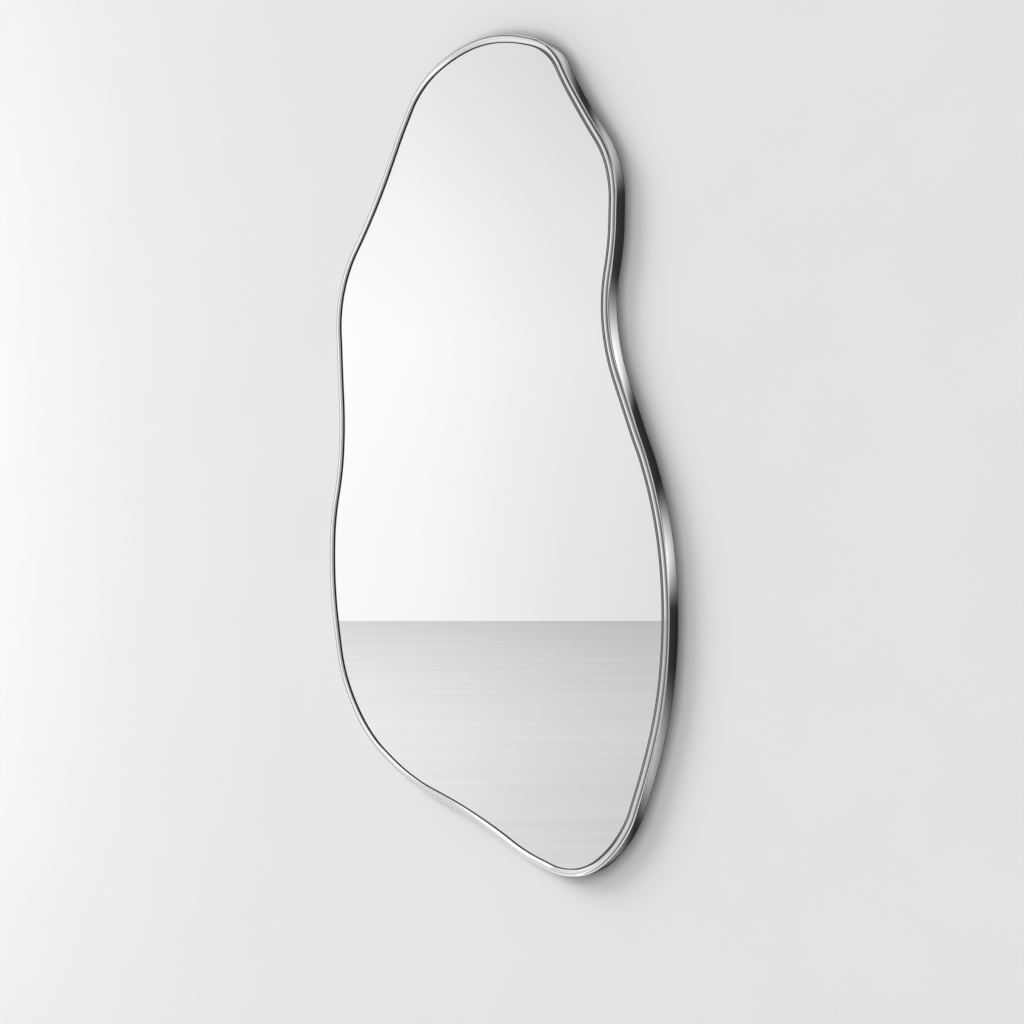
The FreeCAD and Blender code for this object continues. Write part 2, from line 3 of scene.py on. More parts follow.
import bmesh
import bpy
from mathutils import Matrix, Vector


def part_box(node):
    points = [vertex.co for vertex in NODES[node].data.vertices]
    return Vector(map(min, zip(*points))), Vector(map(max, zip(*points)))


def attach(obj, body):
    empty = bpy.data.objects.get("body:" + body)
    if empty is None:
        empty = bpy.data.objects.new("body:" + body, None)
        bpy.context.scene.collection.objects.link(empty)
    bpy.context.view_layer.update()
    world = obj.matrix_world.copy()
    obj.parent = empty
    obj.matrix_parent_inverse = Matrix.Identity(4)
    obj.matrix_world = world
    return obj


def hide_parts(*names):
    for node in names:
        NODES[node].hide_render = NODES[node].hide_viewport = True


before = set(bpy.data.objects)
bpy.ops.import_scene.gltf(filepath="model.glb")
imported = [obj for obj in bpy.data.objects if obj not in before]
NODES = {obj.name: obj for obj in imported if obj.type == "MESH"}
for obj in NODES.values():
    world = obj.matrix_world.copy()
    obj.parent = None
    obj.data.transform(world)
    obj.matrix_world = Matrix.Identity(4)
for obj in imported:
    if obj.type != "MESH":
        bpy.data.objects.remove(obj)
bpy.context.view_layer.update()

# An irregular wall mirror, dressed on its CAD frame. Metres; X right, Y into the wall, Z up.

MM = 0.001


def nodes_named(start):
    return [name for name in sorted(NODES) if name.startswith(start)]


# ------------------------------------------------------------------ the outline of the frame

# The outer edge, clockwise as seen from the room, from the middle of the foot.
OUTLINE_POINTS = [
    (5, -555), (-201, -487), (-235, -466), (-309, -378), (-341, -261), (-348, -139), (-325, 9),
    (-330, 170), (-332, 210), (-209, 445), (-170, 511), (-146, 545), (-26, 599), (74, 589),
    (133, 562), (184, 489), (259, 342), (259, 302), (247, 160), (295, 15), (311, -22),
    (344, -313), (301, -475), (286, -512), (159, -600), (120, -594),
]
STEP = 5 * MM
STEP_TURN = math.radians(2.5)
SEAM_COUNT = 4


def right_of(direction):
    return Vector((direction.y, -direction.x))


def travel_directions(points):
    directions = []
    for index, point in enumerate(points):
        before = point - points[index - 1]
        after = points[(index + 1) % len(points)] - point
        heading = before * (after.length / before.length) + after * (before.length / after.length)
        directions.append(heading.normalized())
    return directions


def turned(direction, angle):
    """The direction turned clockwise by an angle."""
    cosine, sine = math.cos(angle), math.sin(angle)
    return Vector((direction.x * cosine + direction.y * sine,
                   direction.y * cosine - direction.x * sine))


def walk_arc(start, heading, end):
    """Points and headings along the arc that leaves start along heading and ends at end."""
    chord = end - start
    radius = chord.dot(chord) / (2 * chord.dot(right_of(heading)))
    turn = 2 * math.asin(min(1, chord.length / (2 * abs(radius))))
    centre = start + right_of(heading) * radius
    count = max(1, math.ceil(abs(radius) * turn / STEP), math.ceil(turn / STEP_TURN))
    steps = []
    for step in range(count):
        angle = math.copysign(turn * step / count, radius)
        steps.append((centre + turned(start - centre, angle), turned(heading, angle)))
    return steps, turned(heading, math.copysign(turn, radius))


def walk_outline(points):
    """Points and headings all the way round, two tangent arcs between each two points."""
    headings = travel_directions(points)
    walk = []
    for index, start in enumerate(points):
        following = (index + 1) % len(points)
        end, leave, arrive = points[following], headings[index], headings[following]
        chord = end - start
        spread = 2 * (1 - leave.dot(arrive))
        along = chord.dot(leave + arrive)
        reach = (math.sqrt(along ** 2 + spread * chord.dot(chord)) - along) / spread
        middle = (start + end + (leave - arrive) * reach) * 0.5
        first, heading = walk_arc(start, leave, middle)
        second, _ = walk_arc(middle, heading, end)
        walk += first + second
    return walk


def spread_of(values):
    return max(values) - min(values)


def frame_walk():
    """The walk round the frame, at the size and place of the CAD frame."""
    boxes = [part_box(name) for name in nodes_named("frame_length_")]
    low_x, high_x = min(b[0].x for b in boxes), max(b[1].x for b in boxes)
    low_z, high_z = min(b[0].z for b in boxes), max(b[1].z for b in boxes)
    drawn = walk_outline([Vector(point) * MM for point in OUTLINE_POINTS])
    across = (high_x - low_x) / spread_of([place.x for place, _ in drawn])
    up = (high_z - low_z) / spread_of([place.y for place, _ in drawn])
    walk = walk_outline([Vector((x * across, z * up)) * MM for x, z in OUTLINE_POINTS])
    shift = Vector((low_x - min(place.x for place, _ in walk),
                    high_z - max(place.y for place, _ in walk)))
    return [(place + shift, heading) for place, heading in walk]


# ------------------------------------------------------------------ pieces in mesh code


def new_piece(name, vertices, faces, normals=None):
    mesh = bpy.data.meshes.new(name)
    mesh.from_pydata(vertices, [], faces)
    mesh.shade_smooth()
    if normals:
        mesh.normals_split_custom_set_from_vertices(normals)
    mesh.validate()
    piece = bpy.data.objects.new(name, mesh)
    bpy.context.scene.collection.objects.link(piece)
    return piece


def arc_points(centre, radius, start, end, count):
    """Section points with outward normals, from one angle to another in degrees."""
    points = []
    for step in range(count + 1):
        angle = math.radians(start + (end - start) * step / count)
        spoke = (math.cos(angle), math.sin(angle))
        points.append(((centre[0] + radius * spoke[0], centre[1] + radius * spoke[1]), spoke))
    return points


def drawn_on(start, knots, step=0.45):
    """Section points along a bend: knots are (length, lean outwards in degrees there)."""
    place, points = Vector(start), []
    for (length, lean), (next_length, next_lean) in zip(knots, knots[1:]):
        parts = max(1, round(abs(next_lean - lean) / 7), round((next_length - length) / step))
        for part in range(parts):
            angle = math.radians(lean + (next_lean - lean) * part / parts)
            points.append(((place.x, place.y), (-math.sin(angle), -math.cos(angle))))
            half = math.radians(lean + (next_lean - lean) * (part + 0.5) / parts)
            place += Vector((math.cos(half), -math.sin(half))) * ((next_length - length) / parts)
    return points, place


def frame_section():
    """The bent strip's section: (inset, depth) in millimetres, each with its normal.

    From the rim at the wall, up the side, over the nose, across the face and down the lip,
    then back along the inside. The side is crowned a little, and the face falls away
    towards the glass, as rolled strip does."""
    gauge, face, front, rim, hem = 1.5, 12.0, -22.0, -1.0, -19.3
    nose_end = -16.95
    bulge = math.radians(3)
    side_half, side_middle = (rim - nose_end) / 2, (nose_end + rim) / 2
    side_sag = side_half * math.tan(bulge / 2)
    section = []
    for share in (-0.96, -0.7, -0.4, -0.1, 0.2, 0.5, 0.8):
        lean = bulge * share
        section.append(((side_sag * share * share, side_middle - share * side_half),
                        (-math.cos(lean), -math.sin(lean))))
    knots = [(0, 87), (7.15, 5), (9.0, -4), (9.3, -9.5), (12.8, -16.5), (13.1, -22), (14.6, -27),
             (15.6, -85)]
    bend_points, end = drawn_on((side_sag, nose_end), knots)
    top = min(depth for (_, depth), _ in bend_points)
    across = (face - 0.02 - side_sag) / (end.x - side_sag)
    deep = (nose_end - front - 0.005) / (nose_end - top)
    section += [((side_sag + (inset - side_sag) * across, nose_end + (depth - nose_end) * deep),
                 lean) for (inset, depth), lean in bend_points]
    section += arc_points((face - 0.4, hem - 0.4), 0.4, 0, 90, 3)
    section += arc_points((face - gauge + 0.4, hem - 0.4), 0.4, 90, 180, 3)
    section += arc_points((face - gauge - 0.5, front + gauge + 0.9), -0.5, 180, 90, 4)
    section += arc_points((5.0, -17.0), -3.5, 90, 0, 6)
    section += [((gauge, -9), (1, 0)), ((gauge, rim - 0.35), (1, 0))]
    section += arc_points((gauge - 0.35, rim - 0.35), 0.35, 0, 90, 3)
    section += arc_points((0.35 + side_sag, rim - 0.35), 0.35, 90, 170, 3)
    return section


def sweep_round(name, walk, section):
    """A closed section swept round the outline, with its true normals and its lengths as UV."""
    vertices, normals, faces = [], [], []
    for place, heading in walk:
        inward = right_of(heading)
        for (inset, depth), (inset_lean, depth_lean) in section:
            at = place + inward * (inset * MM)
            vertices.append((at.x, depth * MM, at.y))
            normals.append(Vector((inward.x * inset_lean, depth_lean,
                                   inward.y * inset_lean)).normalized())
    rows, around = len(walk), len(section)
    for row in range(rows):
        ahead = (row + 1) % rows
        for point in range(around):
            beside = (point + 1) % around
            faces.append((row * around + point, row * around + beside,
                          ahead * around + beside, ahead * around + point))
    piece = new_piece(name, vertices, faces, normals)
    lengths = [0.0]
    for row in range(rows):
        lengths.append(lengths[-1] + (walk[(row + 1) % rows][0] - walk[row][0]).length)
    girths = [0.0]
    for point in range(around):
        here, beside = section[point][0], section[(point + 1) % around][0]
        girths.append(girths[-1] + math.dist(here, beside) * MM)
    layer = piece.data.uv_layers.new(name="strip")
    for face in piece.data.polygons:
        row, point = divmod(face.index, around)
        corners = [(row, point), (row, point + 1), (row + 1, point + 1), (row + 1, point)]
        for loop, (along, over) in zip(face.loop_indices, corners):
            layer.data[loop].uv = (lengths[along] / lengths[-1], girths[over] / girths[-1])
    return piece


# ------------------------------------------------------------------ shader nodes


def add(tree, kind, inputs=None, **settings):
    """A shader node, its settings made and its inputs set or linked."""
    made = tree.nodes.new("ShaderNode" + kind)
    for key, value in settings.items():
        setattr(made, key, value)
    for key, value in (inputs or {}).items():
        socket = made.inputs[key]
        if isinstance(value, bpy.types.NodeSocket):
            tree.links.new(value, socket)
        else:
            socket.default_value = value
    return made


def maths(tree, operation, first, second=0.0, clamp=False):
    return add(tree, "Math", {0: first, 1: second}, operation=operation,
               use_clamp=clamp).outputs[0]


def spread(tree, value, low, high, to_low=0.0, to_high=1.0):
    """The value between low and high, brought smoothly to another range."""
    return add(tree, "MapRange", {"Value": value, "From Min": low, "From Max": high,
                                  "To Min": to_low, "To Max": to_high},
               interpolation_type="SMOOTHSTEP").outputs["Result"]


def mix_colour(tree, factor, first, second, blend="MIX"):
    made = add(tree, "Mix", data_type="RGBA", blend_type=blend)
    for socket, value in ((made.inputs[0], factor), (made.inputs[6], first),
                          (made.inputs[7], second)):
        if isinstance(value, bpy.types.NodeSocket):
            tree.links.new(value, socket)
        else:
            socket.default_value = value
    return made.outputs[2]


def ramp(tree, factor, stops):
    """A colour ramp in greys or colours, one (place, tone) per stop."""
    made = add(tree, "ValToRGB", {"Fac": factor})
    elements = made.color_ramp.elements
    for _ in range(len(stops) - len(elements)):
        elements.new(0.5)
    for element, (place, tone) in zip(elements, stops):
        element.position = place
        element.color = (*tone, 1) if isinstance(tone, tuple) else (tone, tone, tone, 1)
    return made.outputs["Color"]


def new_group(name, inputs, outputs):
    """An empty shader group with named sockets; returns it with its inner ends."""
    group = bpy.data.node_groups.new(name, "ShaderNodeTree")
    for label, kind, value in inputs:
        socket = group.interface.new_socket(label, in_out="INPUT", socket_type=kind)
        if value is not None:
            socket.default_value = value
    for label, kind in outputs:
        group.interface.new_socket(label, in_out="OUTPUT", socket_type=kind)
    return group, group.nodes.new("NodeGroupInput"), group.nodes.new("NodeGroupOutput")


def use(tree, group, inputs):
    """One shared effect placed in a material with its own values."""
    made = tree.nodes.new("ShaderNodeGroup")
    made.node_tree = group
    for key, value in inputs.items():
        if isinstance(value, bpy.types.NodeSocket):
            tree.links.new(value, made.inputs[key])
        else:
            made.inputs[key].default_value = value
    return made.outputs


FLOAT, COLOUR, VECTOR = "NodeSocketFloat", "NodeSocketColor", "NodeSocketVector"


def mottle_group():
    """Uneven tone: a colour that drifts between two shades, and the mask it drifts by."""
    group, ins, outs = new_group(
        "Mottle",
        [("Vector", VECTOR, None), ("Colour", COLOUR, (0.5, 0.5, 0.5, 1)),
         ("Second colour", COLOUR, (0.6, 0.6, 0.6, 1)), ("Scale", FLOAT, 20.0),
         ("Sharpness", FLOAT, 0.2)],
        [("Colour", COLOUR), ("Mask", FLOAT)])
    cloud = add(group, "TexNoise", {"Vector": ins.outputs["Vector"],
                                    "Scale": ins.outputs["Scale"], "Detail": 5.0,
                                    "Roughness": 0.6})
    half = maths(group, "MULTIPLY", ins.outputs["Sharpness"], 0.5)
    low = maths(group, "SUBTRACT", 0.5, maths(group, "SUBTRACT", 0.35, half))
    high = maths(group, "ADD", 0.5, maths(group, "SUBTRACT", 0.35, half))
    mask = spread(group, cloud.outputs["Fac"], low, high)
    colour = mix_colour(group, mask, ins.outputs["Colour"], ins.outputs["Second colour"])
    group.links.new(colour, outs.inputs["Colour"])
    group.links.new(mask, outs.inputs["Mask"])
    return group


def hairlines_group():
    """Fine polishing lines along one direction, as a height and a change of roughness."""
    group, ins, outs = new_group(
        "Hairlines",
        [("Vector", VECTOR, None), ("Along", FLOAT, 4.0), ("Across", FLOAT, 400.0),
         ("Least roughness", FLOAT, 0.03), ("Most roughness", FLOAT, 0.08)],
        [("Height", FLOAT), ("Roughness", FLOAT)])
    parts = add(group, "SeparateXYZ", {0: ins.outputs["Vector"]})
    stretched = add(group, "CombineXYZ", {
        0: maths(group, "MULTIPLY", parts.outputs[0], ins.outputs["Along"]),
        1: maths(group, "MULTIPLY", parts.outputs[1], ins.outputs["Across"]),
        2: maths(group, "MULTIPLY", parts.outputs[2], ins.outputs["Across"])})
    lines = add(group, "TexNoise", {"Vector": stretched.outputs[0], "Scale": 1.0,
                                    "Detail": 4.0, "Roughness": 0.7})
    rough = spread(group, lines.outputs["Fac"], 0.3, 0.7, ins.outputs["Least roughness"],
                   ins.outputs["Most roughness"])
    group.links.new(lines.outputs["Fac"], outs.inputs["Height"])
    group.links.new(rough, outs.inputs["Roughness"])
    return group


def smudges_group():
    """Handling marks: soft patches with fine ridges, as a mask."""
    group, ins, outs = new_group(
        "Handling marks",
        [("Vector", VECTOR, None), ("Scale", FLOAT, 9.0), ("Amount", FLOAT, 0.3)],
        [("Mask", FLOAT)])
    patches = add(group, "TexNoise", {"Vector": ins.outputs["Vector"],
                                      "Scale": ins.outputs["Scale"], "Detail": 3.0,
                                      "Distortion": 0.6})
    ridges = add(group, "TexWave", {"Vector": ins.outputs["Vector"], "Scale": 260.0,
                                    "Distortion": 9.0, "Detail": 2.0, "Detail Scale": 0.6})
    where = spread(group, patches.outputs["Fac"], 0.56, 0.74)
    fine = spread(group, ridges.outputs["Fac"], 0.2, 0.9, 0.55, 1.0)
    mask = maths(group, "MULTIPLY", maths(group, "MULTIPLY", where, fine),
                 ins.outputs["Amount"])
    group.links.new(mask, outs.inputs["Mask"])
    return group


def dust_group():
    """Dust and lint: small scattered specks, as a mask."""
    group, ins, outs = new_group(
        "Dust",
        [("Vector", VECTOR, None), ("Scale", FLOAT, 300.0), ("Amount", FLOAT, 0.5)],
        [("Mask", FLOAT)])
    specks = add(group, "TexVoronoi", {"Vector": ins.outputs["Vector"],
                                       "Scale": ins.outputs["Scale"], "Randomness": 1.0})
    patches = add(group, "TexNoise", {"Vector": ins.outputs["Vector"], "Scale": 14.0,
                                      "Detail": 2.0})
    grain = spread(group, specks.outputs["Distance"], 0.22, 0.06)
    where = spread(group, patches.outputs["Fac"], 0.42, 0.66)
    mask = maths(group, "MULTIPLY", maths(group, "MULTIPLY", grain, where),
                 ins.outputs["Amount"])
    group.links.new(mask, outs.inputs["Mask"])
    return group


MOTTLE = mottle_group()
HAIRLINES = hairlines_group()
SMUDGES = smudges_group()
DUST = dust_group()


def new_material(name, **constants):
    """A material with a Principled shader, its plain values set on its own sockets."""
    material = bpy.data.materials.new(name)
    material.use_nodes = True
    tree = material.node_tree
    shader = tree.nodes["Principled BSDF"]
    for key, value in constants.items():
        shader.inputs[key.replace("_", " ")].default_value = value
    return material, tree, shader


def object_place(tree):
    return add(tree, "TexCoord").outputs["Object"]


def polished_steel():
    """Strip steel polished to a mirror finish, with faint lines along it and its seams."""
    material, tree, shader = new_material("Polished steel strip", Metallic=1.0)
    place = object_place(tree)
    strip = add(tree, "UVMap", uv_map="strip").outputs["UV"]
    lines = use(tree, HAIRLINES, {"Vector": strip, "Along": 60.0, "Across": 260.0,
                                  "Least roughness": 0.025, "Most roughness": 0.06})
    marks = use(tree, SMUDGES, {"Vector": place, "Scale": 7.0, "Amount": 0.5})
    tone = use(tree, MOTTLE, {"Vector": place, "Colour": (0.80, 0.80, 0.79, 1),
                              "Second colour": (0.86, 0.86, 0.86, 1), "Scale": 6.0,
                              "Sharpness": 0.0})
    along = add(tree, "SeparateXYZ", {0: strip}).outputs[0]
    seam = maths(tree, "PINGPONG", maths(tree, "MULTIPLY", along, float(SEAM_COUNT)), 0.5)
    seam_line = spread(tree, seam, 0.0, 0.0005, 1.0, 0.0)
    colour = mix_colour(tree, maths(tree, "MULTIPLY", seam_line, 0.5), tone["Colour"],
                        (0.30, 0.30, 0.30, 1))
    dulled = mix_colour(tree, maths(tree, "MULTIPLY", marks["Mask"], 0.12), colour,
                        (0.62, 0.62, 0.61, 1))
    rough = maths(tree, "ADD", lines["Roughness"], maths(tree, "MULTIPLY", marks["Mask"], 0.16))
    waves = add(tree, "TexNoise", {"Vector": place, "Scale": 11.0, "Detail": 1.0})
    height = maths(tree, "ADD", maths(tree, "MULTIPLY", waves.outputs["Fac"], 1.0),
                   maths(tree, "MULTIPLY", lines["Height"], 0.012))
    bump = add(tree, "Bump", {"Strength": 0.35, "Distance": 0.0006, "Height": height})
    tree.links.new(dulled, shader.inputs["Base Color"])
    tree.links.new(rough, shader.inputs["Roughness"])
    tree.links.new(bump.outputs["Normal"], shader.inputs["Normal"])
    return material


def silvered_glass():
    """Float glass silvered behind: the reflecting front, greenish edges and a painted back."""
    material, tree, shader = new_material("Silvered glass", Coat_Roughness=0.01,
                                          Coat_IOR=1.52)
    place = object_place(tree)
    normal = add(tree, "NewGeometry").outputs["Normal"]
    facing = add(tree, "SeparateXYZ", {0: normal}).outputs[1]
    front = spread(tree, facing, -0.5, -0.9)
    back = spread(tree, facing, 0.5, 0.9)
    silver = use(tree, MOTTLE, {"Vector": place, "Colour": (0.955, 0.965, 0.955, 1),
                                "Second colour": (0.965, 0.975, 0.97, 1), "Scale": 3.0,
                                "Sharpness": 0.0})
    marks = use(tree, SMUDGES, {"Vector": place, "Scale": 4.0, "Amount": 0.12})
    specks = use(tree, DUST, {"Vector": place, "Scale": 520.0, "Amount": 0.05})
    paint = use(tree, MOTTLE, {"Vector": place, "Colour": (0.20, 0.21, 0.22, 1),
                               "Second colour": (0.25, 0.26, 0.27, 1), "Scale": 60.0,
                               "Sharpness": 0.2})
    edge = use(tree, MOTTLE, {"Vector": place, "Colour": (0.10, 0.24, 0.19, 1),
                              "Second colour": (0.22, 0.42, 0.35, 1), "Scale": 90.0,
                              "Sharpness": 0.2})
    sides = mix_colour(tree, back, edge["Colour"], paint["Colour"])
    colour = mix_colour(tree, front, sides, silver["Colour"])
    dusted = mix_colour(tree, specks["Mask"], colour, (0.7, 0.69, 0.67, 1))
    haze = maths(tree, "MULTIPLY", marks["Mask"], 0.10)
    plain = spread(tree, back, 0.0, 1.0, 0.16, 0.55)
    rough = add(tree, "Mix", {0: front, 2: plain, 3: haze}, data_type="FLOAT").outputs[0]
    tree.links.new(dusted, shader.inputs["Base Color"])
    tree.links.new(rough, shader.inputs["Roughness"])
    tree.links.new(front, shader.inputs["Metallic"])
    tree.links.new(maths(tree, "MULTIPLY", front, 0.25), shader.inputs["Coat Weight"])
    return material


def zinc_steel():
    """Zinc-plated steel: soft grain, faint spangle and a few rubbed places."""
    material, tree, shader = new_material("Zinc plated steel", Metallic=1.0)
    place = object_place(tree)
    spangle = add(tree, "TexVoronoi", {"Vector": place, "Scale": 190.0, "Randomness": 1.0})
    tone = use(tree, MOTTLE, {"Vector": place, "Colour": (0.50, 0.51, 0.52, 1),
                              "Second colour": (0.68, 0.69, 0.69, 1), "Scale": 45.0,
                              "Sharpness": 0.3})
    flakes = add(tree, "SeparateColor", {0: spangle.outputs["Color"]}).outputs[0]
    colour = mix_colour(tree, maths(tree, "MULTIPLY", flakes, 0.22), tone["Colour"],
                        (0.78, 0.79, 0.80, 1))
    lines = use(tree, HAIRLINES, {"Vector": place, "Along": 30.0, "Across": 900.0,
                                  "Least roughness": 0.26, "Most roughness": 0.42})
    marks = use(tree, SMUDGES, {"Vector": place, "Scale": 22.0, "Amount": 0.5})
    rough = maths(tree, "ADD", lines["Roughness"], maths(tree, "MULTIPLY", marks["Mask"], 0.15))
    bump = add(tree, "Bump", {"Strength": 0.25, "Distance": 0.0002, "Height": lines["Height"]})
    tree.links.new(colour, shader.inputs["Base Color"])
    tree.links.new(rough, shader.inputs["Roughness"])
    tree.links.new(bump.outputs["Normal"], shader.inputs["Normal"])
    return material


def black_board():
    """Hardboard with a black paper face; its cut edges show the brown fibre."""
    material, tree, shader = new_material("Black faced board", Specular_IOR_Level=0.3)
    place = object_place(tree)
    normal = add(tree, "NewGeometry").outputs["Normal"]
    facing = maths(tree, "ABSOLUTE", add(tree, "SeparateXYZ", {0: normal}).outputs[1])
    face = spread(tree, facing, 0.4, 0.8)
    paper = use(tree, MOTTLE, {"Vector": place, "Colour": (0.018, 0.018, 0.019, 1),
                               "Second colour": (0.026, 0.0255, 0.025, 1), "Scale": 45.0,
                               "Sharpness": 0.2})
    fibre = use(tree, MOTTLE, {"Vector": place, "Colour": (0.10, 0.062, 0.036, 1),
                               "Second colour": (0.17, 0.11, 0.066, 1), "Scale": 700.0,
                               "Sharpness": 0.4})
    specks = use(tree, DUST, {"Vector": place, "Scale": 420.0, "Amount": 0.5})
    colour = mix_colour(tree, face, fibre["Colour"], paper["Colour"])
    dusted = mix_colour(tree, specks["Mask"], colour, (0.22, 0.21, 0.19, 1))
    weave = add(tree, "TexNoise", {"Vector": place, "Scale": 900.0, "Detail": 3.0})
    rough = spread(tree, weave.outputs["Fac"], 0.3, 0.7, 0.62, 0.84)
    bump = add(tree, "Bump", {"Strength": 0.4, "Distance": 0.0002,
                              "Height": weave.outputs["Fac"]})
    tree.links.new(dusted, shader.inputs["Base Color"])
    tree.links.new(rough, shader.inputs["Roughness"])
    tree.links.new(bump.outputs["Normal"], shader.inputs["Normal"])
    return material


def black_rubber():
    """Moulded black rubber with a fine matt grain and a bloom of dust."""
    material, tree, shader = new_material("Moulded black rubber", Specular_IOR_Level=0.35)
    place = object_place(tree)
    tone = use(tree, MOTTLE, {"Vector": place, "Colour": (0.016, 0.016, 0.017, 1),
                              "Second colour": (0.034, 0.034, 0.035, 1), "Scale": 120.0,
                              "Sharpness": 0.2})
    specks = use(tree, DUST, {"Vector": place, "Scale": 700.0, "Amount": 0.4})
    colour = mix_colour(tree, specks["Mask"], tone["Colour"], (0.20, 0.19, 0.18, 1))
    grain = add(tree, "TexNoise", {"Vector": place, "Scale": 1600.0, "Detail": 2.0})
    rough = spread(tree, tone["Mask"], 0.0, 1.0, 0.52, 0.68)
    bump = add(tree, "Bump", {"Strength": 0.5, "Distance": 0.00015,
                              "Height": grain.outputs["Fac"]})
    tree.links.new(colour, shader.inputs["Base Color"])
    tree.links.new(rough, shader.inputs["Roughness"])
    tree.links.new(bump.outputs["Normal"], shader.inputs["Normal"])
    return material


def black_foam():
    """Closed-cell black foam, its cells cut open on the surface."""
    material, tree, shader = new_material("Closed cell black foam", Specular_IOR_Level=0.2)
    place = object_place(tree)
    cells = add(tree, "TexVoronoi", {"Vector": place, "Scale": 1400.0, "Randomness": 1.0})
    pits = spread(tree, cells.outputs["Distance"], 0.15, 0.5)
    tone = use(tree, MOTTLE, {"Vector": place, "Colour": (0.020, 0.020, 0.021, 1),
                              "Second colour": (0.040, 0.040, 0.041, 1), "Scale": 60.0,
                              "Sharpness": 0.2})
    colour = mix_colour(tree, maths(tree, "MULTIPLY", pits, 0.5), tone["Colour"],
                        (0.008, 0.008, 0.008, 1))
    rough = spread(tree, tone["Mask"], 0.0, 1.0, 0.82, 0.95)
    bump = add(tree, "Bump", {"Strength": 0.6, "Distance": 0.0002, "Height": pits})
    tree.links.new(colour, shader.inputs["Base Color"])
    tree.links.new(rough, shader.inputs["Roughness"])
    tree.links.new(bump.outputs["Normal"], shader.inputs["Normal"])
    return material


def safety_film():
    """Pale film bonded to the back of the glass, with a few faint ripples."""
    material, tree, shader = new_material("Bonded safety film", Specular_IOR_Level=0.4)
    place = object_place(tree)
    tone = use(tree, MOTTLE, {"Vector": place, "Colour": (0.50, 0.52, 0.53, 1),
                              "Second colour": (0.58, 0.60, 0.61, 1), "Scale": 12.0,
                              "Sharpness": 0.1})
    ripples = add(tree, "TexNoise", {"Vector": place, "Scale": 26.0, "Detail": 2.0,
                                     "Distortion": 1.5})
    rough = spread(tree, ripples.outputs["Fac"], 0.3, 0.7, 0.34, 0.48)
    bump = add(tree, "Bump", {"Strength": 0.3, "Distance": 0.0003,
                              "Height": ripples.outputs["Fac"]})
    tree.links.new(tone["Colour"], shader.inputs["Base Color"])
    tree.links.new(rough, shader.inputs["Roughness"])
    tree.links.new(bump.outputs["Normal"], shader.inputs["Normal"])
    return material


STEEL = polished_steel()
SILVER = silvered_glass()
ZINC = zinc_steel()
BOARD = black_board()
RUBBER = black_rubber()
FOAM = black_foam()
FILM = safety_film()


def finish_with(piece, material):
    """Put one material in every slot of a piece."""
    if not piece.material_slots:
        piece.data.materials.append(material)
    for holder in piece.material_slots:
        holder.material = material


# ------------------------------------------------------------------ the dressed mirror


def polished_frame():
    piece = sweep_round("polished_frame", frame_walk(), frame_section())
    finish_with(piece, STEEL)
    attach(piece, "mirror")
    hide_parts(*nodes_named("frame_length_"))


def edge_seal():
    """A thin black seal on the inner edge of the frame's lip, down to the glass."""
    section = [((11.2, -20.3), (-1, 0)), ((11.35, -20.72), (-0.7, -0.7))]
    section += arc_points((11.3, -20.05), 0.95, 285, 360, 6)
    section += [((12.25, -19.6), (1, 0)), ((12.3, -19.01), (1, 0)), ((11.2, -19.01), (0, 1))]
    piece = sweep_round("edge_seal", frame_walk(), section)
    finish_with(piece, RUBBER)
    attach(piece, "mirror")


# ------------------------------------------------------------------ hanging hardware

AROUND = 36               # points in one turn
ALL_SMOOTH = 180          # degrees: no edge is kept crisp
# the rest are millimetres
BOARD_BACK = -8.0
TAB_GAUGE, RAIL_GAUGE = 1.2, 1.5
TAB_COUNT, TAB_SCREW_INSET = 8, 12.8
RAIL_SCREW_X, RAIL_SCREW_Z, RAIL_SCREW_RADIUS = (-120, -40, 40, 120), 42, 2.2
WALL_SCREW_X, WALL_SCREW_RADIUS = (-100, 100), 2.75
UPPER_HALF, LOWER_HALF = 150, 130
DRILL_FROM, DRILL_TO = -30, 10


def round_reach(_):
    """A circle's reach from its middle, at any angle."""
    return 1.0


def hex_reach(angle):
    """A hexagon's reach from its middle, its flats at 1."""
    return 1 / math.cos((angle % (math.pi / 3)) - math.pi / 6)


def square_reach(angle):
    """The reach of a square with rounded corners, its flats at 1."""
    cosine, sine = abs(math.cos(angle)), abs(math.sin(angle))
    return (cosine ** 9 + sine ** 9) ** (-1 / 9)


def add_turned(vertices, faces, place, rings, around=AROUND):
    """Rings about a line through the wall at a place, each (depth, size, reach), in mm."""
    first = len(vertices)
    for depth, size, reach in rings:
        for step in range(around):
            angle = math.tau * step / around
            out = size * reach(angle) * MM
            vertices.append((place[0] + out * math.cos(angle), depth * MM,
                             place[1] + out * math.sin(angle)))
    for ring in range(len(rings) - 1):
        for step in range(around):
            beside = (step + 1) % around
            low, high = first + ring * around, first + (ring + 1) * around
            faces.append((low + step, high + step, high + beside, low + beside))
    faces.append(tuple(first + step for step in range(around)))
    last = first + (len(rings) - 1) * around
    faces.append(tuple(last + step for step in reversed(range(around))))


def turned_piece(name, places, rings, sharp=35):
    vertices, faces = [], []
    for place in places:
        add_turned(vertices, faces, place, rings)
    piece = new_piece(name, vertices, faces)
    sharpen(piece, sharp)
    return piece


def sharpen(piece, degrees):
    """Turn the faces outwards, and keep edges crisp where faces meet at a larger angle."""
    soft = bmesh.new()
    soft.from_mesh(piece.data)
    bmesh.ops.recalc_face_normals(soft, faces=soft.faces)
    for edge in soft.edges:
        edge.smooth = edge.calc_face_angle(0) < math.radians(degrees)
    soft.to_mesh(piece.data)
    soft.free()


